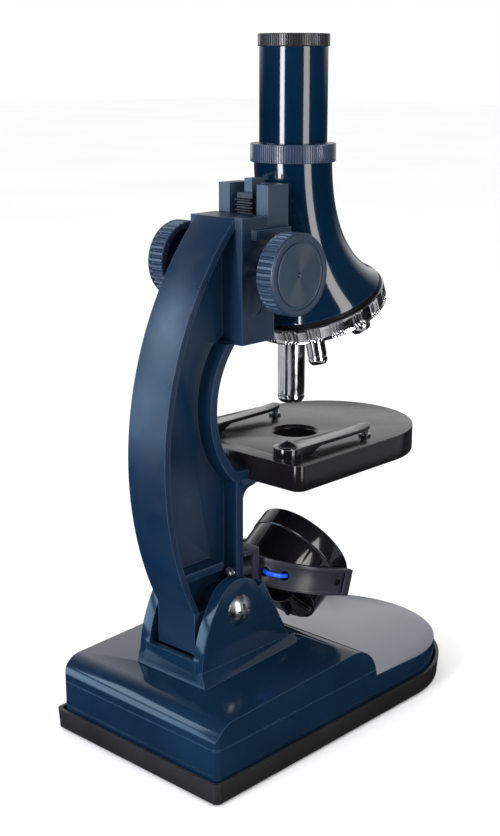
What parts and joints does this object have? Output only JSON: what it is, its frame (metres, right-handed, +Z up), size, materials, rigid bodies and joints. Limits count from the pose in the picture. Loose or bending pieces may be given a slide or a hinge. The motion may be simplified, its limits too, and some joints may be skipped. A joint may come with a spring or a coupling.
{
  "type": "toy microscope",
  "caption": "Upright toy microscope: tilting curved arm, rack focus, objective turret, stage with spring clips and swivelling battery lamp.",
  "frame": {"origin": "middle of the base's footprint, at the underside of its rubber feet", "axes": "+Z up along the tube, -Y towards the rounded nose of the base and the user's slide, +X to the right of someone who faces the nose and looks along +Y"},
  "size_m": [0.076, 0.1398, 0.225],
  "materials": {
    "navy_gloss": "polished moulded plastic",
    "navy_satin": "satin moulded plastic",
    "black_satin": "satin moulded plastic",
    "black_gloss": "polished moulded plastic",
    "slate_satin": "satin moulded plastic",
    "chrome": "bright plated",
    "steel": "zinc plated",
    "rubber": "plain",
    "wire_blue": "smooth insulation",
    "clear": "clear",
    "bulb_glass": "clear",
    "battery_wrap": "printed film without lettering"
  },
  "bodies": {
    "base": {"base_tray": "black_satin", "base_cover": "navy_gloss", "battery_door": "black_satin", "door_screw": "steel", "batteries": "battery_wrap", "contact_plates": "steel", "contact_springs": "steel", "rubber_feet": "rubber", "case_screws": "steel", "hinge_screw": "chrome", "hinge_nut": "steel"},
    "arm": {"arm_frame": "navy_gloss", "hinge_washers": "steel", "stage": "black_satin", "stage_screws": "steel", "clip_rivets": "black_gloss", "yoke": "slate_satin", "yoke_screws": "steel", "pivot_pins": "black_satin", "lamp_wire": "wire_blue"},
    "clip_left": {"stage_clip_left": "black_gloss"},
    "clip_right": {"stage_clip_right": "black_gloss"},
    "lamp": {"lamp_cup": "black_gloss", "lamp_rim": "black_gloss", "reflector": "chrome", "bulb": "bulb_glass", "bulb_socket": "steel", "lamp_lens": "clear"},
    "carriage": {"head_body": "navy_gloss", "slide_block": "navy_satin", "slide_screws": "steel", "rack": "black_satin", "turret_seat": "black_satin", "click_spring": "steel", "neck_ring": "navy_satin", "draw_tube": "navy_gloss", "turret_screw": "chrome"},
    "eyepiece": {"eyepiece_cap": "black_satin", "eyepiece_barrel": "black_satin", "eyepiece_lenses": "clear"},
    "turret": {"turret_disc": "chrome", "objective_long": "chrome", "objective_medium": "chrome", "objective_short": "chrome", "objective_lenses": "clear"},
    "focus": {"pinion_shaft": "steel", "pinion": "steel", "knob_left": "navy_satin", "knob_right": "navy_satin"}
  },
  "joints": [
    {"name": "arm_tilt", "type": "hinge", "parent": "base", "child": "arm", "pos_m": [0, 0.035, 0.047], "axis": [-1, 0, 0], "range_deg": [0, 35]},
    {"name": "focus_knob", "type": "hinge", "parent": "arm", "child": "focus", "pos_m": [0, 0.0213, 0.1544], "axis": [1, 0, 0], "range_deg": [-132, 148]},
    {"name": "carriage_slide", "type": "slide", "parent": "arm", "child": "carriage", "axis": [0, 0, 1], "range_m": [-0.009, 0.008]},
    {"name": "turret_turn", "type": "hinge", "parent": "carriage", "child": "turret", "pos_m": [0, -0.0174, 0.14055], "axis": [0, 0.3693, 0.9293], "continuous": true},
    {"name": "eyepiece_lift", "type": "slide", "parent": "carriage", "child": "eyepiece", "axis": [0, 0, 1], "range_m": [0, 0.018]},
    {"name": "clip_left_swing", "type": "hinge", "parent": "arm", "child": "clip_left", "pos_m": [-0.0198, 0.0185, 0.097], "axis": [0, 0, 1], "range_deg": [-40, 18]},
    {"name": "clip_right_swing", "type": "hinge", "parent": "arm", "child": "clip_right", "pos_m": [0.0198, 0.0185, 0.097], "axis": [0, 0, 1], "range_deg": [-18, 42]},
    {"name": "lamp_tilt", "type": "hinge", "parent": "arm", "child": "lamp", "pos_m": [0, -0.0052, 0.0467], "axis": [1, 0, 0], "range_deg": [-75, 35]}
  ],
  "couplings": [
    {"joint": "focus_knob", "follows": "carriage_slide", "rad_per_m": -285.71}
  ]
}
